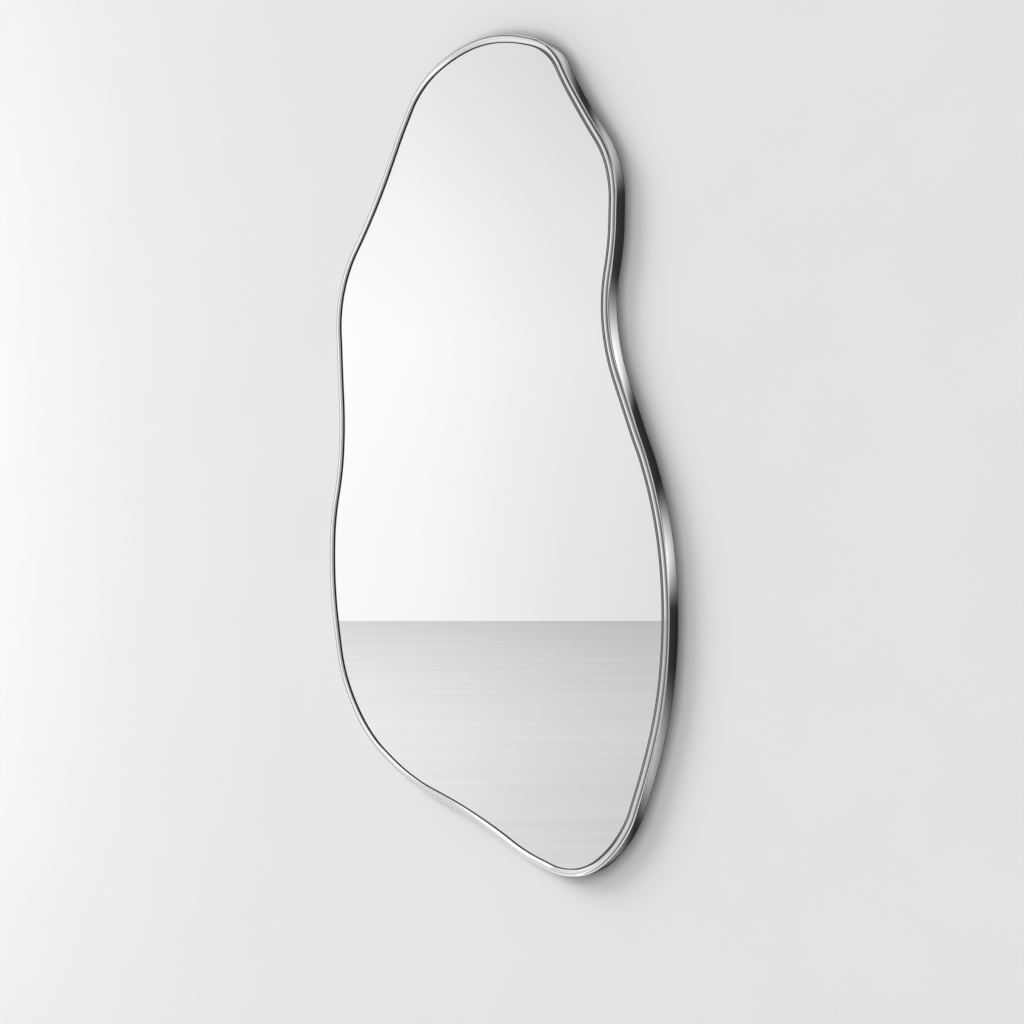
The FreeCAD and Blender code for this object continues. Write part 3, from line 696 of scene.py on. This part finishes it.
def along_frame(walk, share, inset):
    """The place a share of the way round the frame, inset inwards in millimetres."""
    lengths = [0.0]
    for index, (place, _) in enumerate(walk):
        lengths.append(lengths[-1] + (walk[(index + 1) % len(walk)][0] - place).length)
    wanted = share * lengths[-1]
    index = next(i for i in range(len(walk)) if lengths[i + 1] >= wanted)
    part = (wanted - lengths[index]) / (lengths[index + 1] - lengths[index])
    here, beyond = walk[index], walk[(index + 1) % len(walk)]
    return here[0].lerp(beyond[0], part) + right_of(here[1]) * (inset * MM)


def hex_screw_rings(seat, shank, length, corners, height):
    """A hexagon-head screw: point, rolled thread, washer face and chamfered head."""
    flats = corners / 2 * math.cos(math.pi / 6)
    rings = [(seat - length, shank * 0.2, round_reach),
             (seat - length + 0.6, shank * 0.42, round_reach)]
    depth = seat - length + 0.8
    while depth < seat - 0.5:
        rings += [(depth, shank * 0.41, round_reach), (depth + 0.2, shank * 0.5, round_reach)]
        depth += 0.45
    rings += [(seat, shank * 0.5, round_reach), (seat, corners / 2, round_reach),
              (seat + 0.45, corners / 2, round_reach), (seat + 0.55, flats * 0.93, hex_reach),
              (seat + height - 0.5, flats * 0.93, hex_reach),
              (seat + height - 0.12, flats * 0.96, round_reach),
              (seat + height, flats * 0.86, round_reach),
              (seat + height, flats * 0.55, round_reach),
              (seat + height - 0.3, flats * 0.42, round_reach),
              (seat + height - 0.35, flats * 0.1, round_reach)]
    return rings


def tab_screws():
    walk = frame_walk()
    places = [along_frame(walk, (index + 0.5) / TAB_COUNT, TAB_SCREW_INSET)
              for index in range(TAB_COUNT)]
    rings = hex_screw_rings(BOARD_BACK + TAB_GAUGE, shank=3.5, length=5.2, corners=7.5,
                            height=2.2)
    piece = turned_piece("tab_hex_screws", places, rings)
    finish_with(piece, ZINC)
    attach(piece, "mirror")
    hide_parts("tab_screws")


def rail_screws():
    places = [Vector((x * MM, RAIL_SCREW_Z * MM)) for x in RAIL_SCREW_X]
    rings = hex_screw_rings(BOARD_BACK + RAIL_GAUGE, shank=4.0, length=7.0, corners=8.0,
                            height=2.4)
    piece = turned_piece("rail_hex_screws", places, rings)
    finish_with(piece, ZINC)
    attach(piece, "mirror")
    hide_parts("rail_screws")


def wall_bumpers():
    """Moulded square pads, dished and ringed where they touch the wall."""
    rings = [(-8.0, 9.0, square_reach), (-1.9, 9.0, square_reach), (-1.4, 8.85, square_reach),
             (-0.2, 7.75, square_reach), (0.0, 7.3, square_reach), (0.0, 6.2, square_reach),
             (-0.5, 5.9, square_reach), (-0.5, 5.2, square_reach), (-0.05, 4.9, square_reach),
             (-0.05, 4.1, round_reach), (-0.9, 3.3, round_reach), (-1.1, 0.4, round_reach)]
    for name in nodes_named("wall_bumper_"):
        low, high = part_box(name)
        middle = Vector(((low.x + high.x) / 2, (low.z + high.z) / 2))
        piece = turned_piece(name.replace("wall_bumper", "rubber_pad"), [middle], rings, 50)
        finish_with(piece, RUBBER)
        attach(piece, "mirror")
        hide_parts(name)


def bent_bar(name, section, half_length, holes):
    """A bent rail: its section drawn out along X, drilled, and its edges broken."""
    vertices, faces = [], []
    count = len(section)
    for x in (-half_length, half_length):
        vertices += [(x * MM, y * MM, z * MM) for y, z in section]
    for corner in range(count):
        beside = (corner + 1) % count
        faces.append((corner, beside, count + beside, count + corner))
    faces.append(tuple(range(count)))
    faces.append(tuple(reversed(range(count, 2 * count))))
    piece = new_piece(name, vertices, faces)
    sharpen(piece, ALL_SMOOTH)
    drill_vertices, drill_faces = [], []
    for x, z, radius in holes:
        add_turned(drill_vertices, drill_faces, (x * MM, z * MM),
                   [(DRILL_FROM, radius, round_reach), (DRILL_TO, radius, round_reach)], 32)
    drill = new_piece(name + "_drill", drill_vertices, drill_faces)
    sharpen(drill, ALL_SMOOTH)
    cut = piece.modifiers.new("holes", "BOOLEAN")
    cut.operation, cut.object, cut.solver = "DIFFERENCE", drill, "EXACT"
    soft = piece.modifiers.new("edges", "BEVEL")
    soft.width, soft.segments, soft.limit_method = 0.22 * MM, 2, "ANGLE"
    soft.angle_limit = math.radians(50)
    flat = piece.modifiers.new("flat faces", "WEIGHTED_NORMAL")
    flat.mode, flat.weight = "FACE_AREA", 100
    drawn = bpy.data.meshes.new_from_object(
        piece.evaluated_get(bpy.context.evaluated_depsgraph_get()))
    piece.modifiers.clear()
    piece.data = drawn
    bpy.data.objects.remove(drill)
    return piece


def bend(centre, radius, start, end):
    return [place for place, _ in arc_points(centre, radius, start, end, 8)]


def hanging_rails():
    """The rail on the board hooks down behind the rail on the wall. Sections are (depth, up)."""
    upper = [(-8.0, 26.0)]
    upper += bend((-4.3, 25.0), 1.0, 90, 0)
    upper += [(-3.3, 16.0), (-1.8, 16.0)]
    upper += bend((-4.3, 25.0), 2.5, 0, 90)
    upper += bend((-5.5, 28.5), 1.0, 270, 180)
    upper += [(-6.5, 56.0), (-8.0, 56.0)]
    piece = bent_bar("upper_rail", upper, UPPER_HALF,
                     [(x, RAIL_SCREW_Z, RAIL_SCREW_RADIUS) for x in RAIL_SCREW_X])
    finish_with(piece, ZINC)
    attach(piece, "mirror")
    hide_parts("mirror_rail")
    lower = [(0.0, -14.0), (0.0, 14.0)]
    lower += bend((-3.1, 14.5), 0.5, 270, 180)
    lower += [(-3.6, 26.0), (-5.1, 26.0)]
    lower += bend((-2.6, 15.0), 2.5, 180, 270)
    lower += bend((-2.5, 11.5), 1.0, 90, 0)
    lower += [(-1.5, -14.0)]
    piece = bent_bar("lower_rail", lower, LOWER_HALF,
                     [(x, 0, WALL_SCREW_RADIUS) for x in WALL_SCREW_X])
    finish_with(piece, ZINC)
    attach(piece, "wall_rail")
    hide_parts("wall_rail")


def dress_cad_nodes():
    finishes = {
        "mirror_glass": SILVER, "backing_board": BOARD, "safety_film": FILM,
        "glazing_gasket": FOAM, "bonding_tape_": FOAM, "setting_block_": RUBBER,
        "wall_bumper_": RUBBER, "seam_splice_": ZINC, "retaining_tab_": ZINC,
        "tab_screws": ZINC, "rail_screws": ZINC, "tee_nuts": ZINC, "mirror_rail": ZINC,
        "wall_rail": ZINC,
    }
    for start, material in finishes.items():
        for name in nodes_named(start):
            finish_with(NODES[name], material)


polished_frame()
edge_seal()
tab_screws()
rail_screws()
wall_bumpers()
hanging_rails()
dress_cad_nodes()

# ------------------------------------------------------------------ wall, floor and light

FLOOR = -1.65
VIEW_ANGLE = math.radians(44)
CAMERA_AT = Vector((1.4840, -1.4856, -0.4443))
FAR_EDGE = 13.66          # from the mirror to the far edge of the floor, seen in the glass
CONTACT_SHADE_REACH = 0.018      # how far out the wall's colour is darkened beside the frame, as painted shade
LOOKED_AT = Vector((-math.sin(VIEW_ANGLE), -math.cos(VIEW_ANGLE), 0))


def stage_material(name):
    material = bpy.data.materials.new(name)
    material.use_nodes = True
    tree = material.node_tree
    tree.nodes.clear()
    return material, tree, add(tree, "OutputMaterial")


def plaster():
    """The pale wall, seen from the room only; metal and glass don't show it. Its colour is
    darkened beside the frame as painted shade.
    """
    material, tree, out = stage_material("Pale plaster")
    place = object_place(tree)
    tone = use(tree, MOTTLE, {"Vector": place, "Colour": (0.755, 0.748, 0.742, 1),
                              "Second colour": (0.768, 0.762, 0.757, 1), "Scale": 5.0,
                              "Sharpness": 0.0})
    grain = add(tree, "TexNoise", {"Vector": place, "Scale": 240.0, "Detail": 3.0})
    bump = add(tree, "Bump", {"Strength": 0.12, "Distance": 0.0005,
                              "Height": grain.outputs["Fac"]})
    # painted shade: ambient occlusion darkens the wall's colour beside the frame
    corner = add(tree, "AmbientOcclusion", {"Color": tone["Colour"], "Distance": CONTACT_SHADE_REACH},
                 samples=8)
    matt = add(tree, "BsdfDiffuse", {"Color": corner.outputs["Color"],
                                     "Normal": bump.outputs["Normal"]})
    behind = add(tree, "NewGeometry").outputs["Backfacing"]
    camera = add(tree, "LightPath").outputs["Is Camera Ray"]
    seen = maths(tree, "MULTIPLY", camera, maths(tree, "SUBTRACT", 1.0, behind))
    mixed = add(tree, "MixShader", {0: seen, 1: add(tree, "BsdfTransparent").outputs[0],
                                    2: matt.outputs[0]})
    tree.links.new(mixed.outputs[0], out.inputs["Surface"])
    return material


def at(degrees):
    """An angle from -180 to 180 degrees as a place on a ramp."""
    return degrees / 360 + 0.5


def turn_about(tree, across, ahead):
    """The angle of a direction, on the same scale."""
    return maths(tree, "ADD", maths(tree, "DIVIDE", maths(
        tree, "ARCTAN2", across, ahead), math.tau), 0.5)


def pale_floor():
    """A pale floor; glass and metal show it at the same tone, as a glow with painted light and
    shade: a little darker far off, lighter towards the left in the glass, and with bright and
    dark panels.
    """
    material, tree, out = stage_material("Pale floor")
    place = object_place(tree)
    parts = add(tree, "SeparateXYZ", {0: place})
    streaked = add(tree, "CombineXYZ", {0: maths(tree, "MULTIPLY", parts.outputs[0], 0.25),
                                        1: maths(tree, "MULTIPLY", parts.outputs[1], 2.6)})
    streaks = add(tree, "TexNoise", {"Vector": streaked.outputs[0], "Scale": 2.2,
                                     "Detail": 4.0})
    # the object's own Y runs away from the mirror, and its X to the left in the glass
    away = maths(tree, "ADD", parts.outputs[1], 2.0)
    slant = maths(tree, "DIVIDE", parts.outputs[0], maths(tree, "MAXIMUM", away, 1.0))
    far_share = maths(tree, "DIVIDE", away, 16.0)
    # painted shade: the floor darker far off, with a brighter band nearer in
    painted_light_by_distance = add(tree, "SeparateColor", {0: ramp(tree, far_share, [
        (0.10, 0.80), (0.20, 1.05), (0.225, 1.05), (0.26, 0.74), (0.33, 0.70), (0.47, 0.72),
        (0.57, 0.69), (0.80, 0.63), (0.98, 0.57)])}).outputs[0]
    # painted light: the floor lighter towards the left in the glass
    side = spread(tree, slant, -0.16, 0.16, 0.88, 1.24)
    # painted light and shade: the room's bright and dark panels, painted on the floor as a
    # reflection
    spot = add(tree, "SeparateXYZ", {0: add(tree, "NewGeometry").outputs["Position"]}).outputs
    panels = add(tree, "SeparateColor", {0: ramp(tree, turn_about(
        tree, spot[0], maths(tree, "MULTIPLY", spot[1], -1.0)), [
        (at(-110), 1.0), (at(-81), 1.45), (at(-76), 0.22), (at(-60), 0.20), (at(-55), 1.0),
        (at(-33.5), 1.0), (at(-31), 1.6), (at(-26), 1.5), (at(-21), 0.60), (at(-10), 0.60),
        (at(-4), 0.9), (at(8), 0.9), (at(22), 0.25), (at(64), 0.25), (at(76), 0.9),
        (at(110), 0.8), (at(125), 0.3)])}).outputs[0]
    tone = maths(tree, "MULTIPLY", maths(tree, "MULTIPLY", painted_light_by_distance, side), panels)
    fine = maths(tree, "ADD", tone,
                 spread(tree, streaks.outputs["Fac"], 0.25, 0.75, -0.02, 0.02))
    matt = add(tree, "BsdfDiffuse", {"Color": mix_colour(
        tree, streaks.outputs["Fac"], (0.70, 0.695, 0.69, 1), (0.73, 0.725, 0.72, 1))})
    # glass and metal see the floor as this glow of painted light and shade; it is no lamp
    glow = add(tree, "Emission", {"Color": fine, "Strength": 1.0})
    path = add(tree, "LightPath")
    shown = maths(tree, "MAXIMUM", path.outputs["Is Glossy Ray"],
                  path.outputs["Is Transmission Ray"])
    mixed = add(tree, "MixShader", {0: shown, 1: matt.outputs[0], 2: glow.outputs[0]})
    wall_side = maths(tree, "MULTIPLY", shown, maths(tree, "GREATER_THAN", spot[1], 0.0))
    opened = add(tree, "MixShader", {0: wall_side, 1: mixed.outputs[0],
                                     2: add(tree, "BsdfTransparent").outputs[0]})
    tree.links.new(opened.outputs[0], out.inputs["Surface"])
    return material


def stage_sheet(name, corners, material, place=(0, 0, 0), turn=0.0):
    mesh = bpy.data.meshes.new(name)
    mesh.from_pydata(corners, [], [tuple(range(len(corners)))])
    piece = bpy.data.objects.new(name, mesh)
    piece.location = place
    piece.rotation_euler = (0, 0, turn)
    bpy.context.scene.collection.objects.link(piece)
    finish_with(piece, material)
    return piece


def wall_and_floor():
    reach, top = 16.0, 8.0
    y = 0.3 * MM
    stage_sheet("wall", [(-reach, y, FLOOR), (reach, y, FLOOR), (reach, y, top),
                         (-reach, y, top)], plaster())
    # six sides, one of them square to the view in the glass
    corners = []
    for side in range(6):
        angle = math.radians(60 * side + 60)
        radius = FAR_EDGE / math.cos(math.radians(30))
        corners.append((radius * math.cos(angle), radius * math.sin(angle), 0))
    stage_sheet("floor", corners, pale_floor(), (0, 0, FLOOR),
                math.atan2(LOOKED_AT.y, LOOKED_AT.x) - math.pi / 2)
    bpy.data.objects["floor"].visible_diffuse = False
    bpy.data.objects["floor"].visible_shadow = False


# Bright panels on a dark screen beside the mirror: (foot, brightest, top, tone).
PANELS = [(-1.06, -0.985, -0.93, 0.24), (-0.92, -0.83, -0.66, 0.44), (-0.58, -0.48, -0.37, 0.80),
          (-0.265, -0.19, -0.13, 0.95), (0.0, 0.12, 0.18, 0.46), (0.20, 0.28, 0.35, 0.50)]
SCREEN_LOW, SCREEN_HIGH = -1.10, 0.45


def side_screen():
    """A screen beside and behind the mirror that only polished metal shows, in its side."""
    material, tree, out = stage_material("Panelled screen")
    height = add(tree, "SeparateXYZ", {0: object_place(tree)}).outputs[2]
    share = add(tree, "MapRange", {"Value": height, "From Min": SCREEN_LOW,
                                   "From Max": SCREEN_HIGH}).outputs["Result"]
    stops = []
    for foot, brightest, top, tone in PANELS:
        for place, shade in ((foot, 0.03), (brightest, tone), (top, 0.03)):
            stops.append(((place - SCREEN_LOW) / (SCREEN_HIGH - SCREEN_LOW), shade))
    tone = ramp(tree, share, stops)
    tone.node.color_ramp.interpolation = "EASE"
    path = add(tree, "LightPath")
    veil = mix_colour(tree, path.outputs["Is Glossy Ray"], (1, 1, 1, 1), tone)
    clear = add(tree, "BsdfTransparent", {"Color": veil})
    tree.links.new(clear.outputs[0], out.inputs["Surface"])
    stage_sheet("side_screen", [(0.02, 0.06, SCREEN_LOW), (1.3, 0.06, SCREEN_LOW),
                                (1.3, 0.06, SCREEN_HIGH), (0.02, 0.06, SCREEN_HIGH)], material)


def studio_world():
    """Soft light all round. Metal and glass see pale walls, with a few dark and bright panels."""
    world = bpy.data.worlds.new("Studio")
    bpy.context.scene.world = world
    world.use_nodes = True
    tree = world.node_tree
    tree.nodes.clear()
    out = add(tree, "OutputWorld")
    way = add(tree, "SeparateXYZ", {0: add(tree, "TexCoord").outputs["Generated"]})
    x, y, z = way.outputs
    # round the room: 0 straight out from the wall, positive to the right, in half turns
    round_room = turn_about(tree, x, maths(tree, "MULTIPLY", y, -1.0))

    room = ramp(tree, round_room, [
        (at(-150), 0.60), (at(-110), 0.80), (at(-80), 1.2), (at(-75), 0.16), (at(-57), 0.14),
        (at(-53.5), 1.05), (at(-48), 0.99), (at(-42), 0.86), (at(-37.5), 0.79), (at(-36), 1.25),
        (at(-27), 1.15), (at(-23), 0.42), (at(-10), 0.42), (at(-4), 0.62), (at(8), 0.62),
        (at(22), 0.17), (at(64), 0.17), (at(76), 0.80), (at(106), 0.70), (at(122), 0.20),
        (at(140), 0.20)])
    height = ramp(tree, maths(tree, "ADD", maths(tree, "MULTIPLY", z, 0.5), 0.5), [
        (0.44, 0.95), (0.50, 0.97), (0.56, 1.0), (0.60, 0.95), (0.655, 0.83), (0.675, 1.0),
        (0.77, 1.0), (0.85, 0.32), (1.0, 0.28)])
    room_tone = mix_colour(tree, 1.0, room, height, "MULTIPLY")
    shade = add(tree, "MapRange", {"Value": y, "From Min": 0.66, "From Max": 0.87,
                                   "To Min": 1.45, "To Max": 0.50}).outputs["Result"]
    # round the wall side, by the angle about the line through the wall
    about = turn_about(tree, z, x)
    behind = ramp(tree, about, [
        (at(-179), 0.70), (at(-165), 0.25), (at(-150), 0.60), (at(-125), 0.22), (at(-108), 1.1),
        (at(108), 1.1), (at(125), 0.50), (at(150), 0.25), (at(165), 0.85), (at(179), 0.70)])
    behind = mix_colour(tree, 1.0, behind, add(tree, "CombineColor", {
        index: shade for index in range(3)}).outputs[0], "MULTIPLY")
    tone = mix_colour(tree, spread(tree, y, -0.05, 0.25), room_tone, behind)
    seen = add(tree, "Background", {"Color": tone, "Strength": 1.0})
    leftward = add(tree, "MapRange", {"Value": x, "From Min": -1.0, "From Max": 1.0})
    fill_tone = mix_colour(tree, leftward.outputs["Result"], (1.30, 1.305, 1.31, 1),
                           (0.212, 0.198, 0.182, 1))
    fill = add(tree, "Background", {"Color": fill_tone, "Strength": 1.0})
    pale = add(tree, "Background", {"Color": (0.745, 0.738, 0.732, 1), "Strength": 1.0})
    path = add(tree, "LightPath")
    reflected = maths(tree, "MAXIMUM", path.outputs["Is Glossy Ray"],
                      path.outputs["Is Transmission Ray"])
    for_camera = add(tree, "MixShader", {0: path.outputs["Is Camera Ray"], 1: fill.outputs[0],
                                         2: pale.outputs[0]})
    mixed = add(tree, "MixShader", {0: reflected, 1: for_camera.outputs[0],
                                    2: seen.outputs[0]})
    tree.links.new(mixed.outputs[0], out.inputs["Surface"])


def soft_lamp(name, place, aim, width, height, watts):
    lamp = bpy.data.lights.new(name, "AREA")
    lamp.shape = "RECTANGLE"
    lamp.size, lamp.size_y = width, height
    lamp.energy = watts
    holder = bpy.data.objects.new(name, lamp)
    holder.location = place
    holder.rotation_euler = (Vector(aim) - Vector(place)).to_track_quat("-Z", "Y").to_euler()
    holder.visible_glossy = False
    bpy.context.scene.collection.objects.link(holder)


def lights():
    sun = bpy.data.lights.new("key_light", "SUN")
    sun.energy, sun.angle, sun.color = 1.9, math.radians(24), (0.985, 0.995, 1.0)
    key = bpy.data.objects.new("key_light", sun)
    key.rotation_euler = Vector((2.05, 1.0, -1.2)).to_track_quat("-Z", "Y").to_euler()
    key.visible_glossy = False
    bpy.context.scene.collection.objects.link(key)
    soft_lamp("left_light", (-2.3, -1.0, -0.3), (-1.2, 0.0, -0.3), 0.9, 2.4, 9.5)
    soft_lamp("back_light_left", (-1.4, 1.9, 0.9), (0, 0, -0.35), 1.4, 1.4, 26)
    soft_lamp("back_light_right", (1.7, 1.6, -0.4), (0, 0, -0.35), 1.0, 1.6, 12)


def camera():
    lens = bpy.data.cameras.new("camera")
    lens.lens, lens.sensor_width = 50, 36
    lens.clip_end = 200
    holder = bpy.data.objects.new("camera", lens)
    holder.location = CAMERA_AT
    holder.rotation_euler = (math.radians(90), 0, VIEW_ANGLE)
    bpy.context.scene.collection.objects.link(holder)
    bpy.context.scene.camera = holder


wall_and_floor()
side_screen()
studio_world()
lights()
camera()
bpy.context.scene.view_settings.view_transform = "Standard"
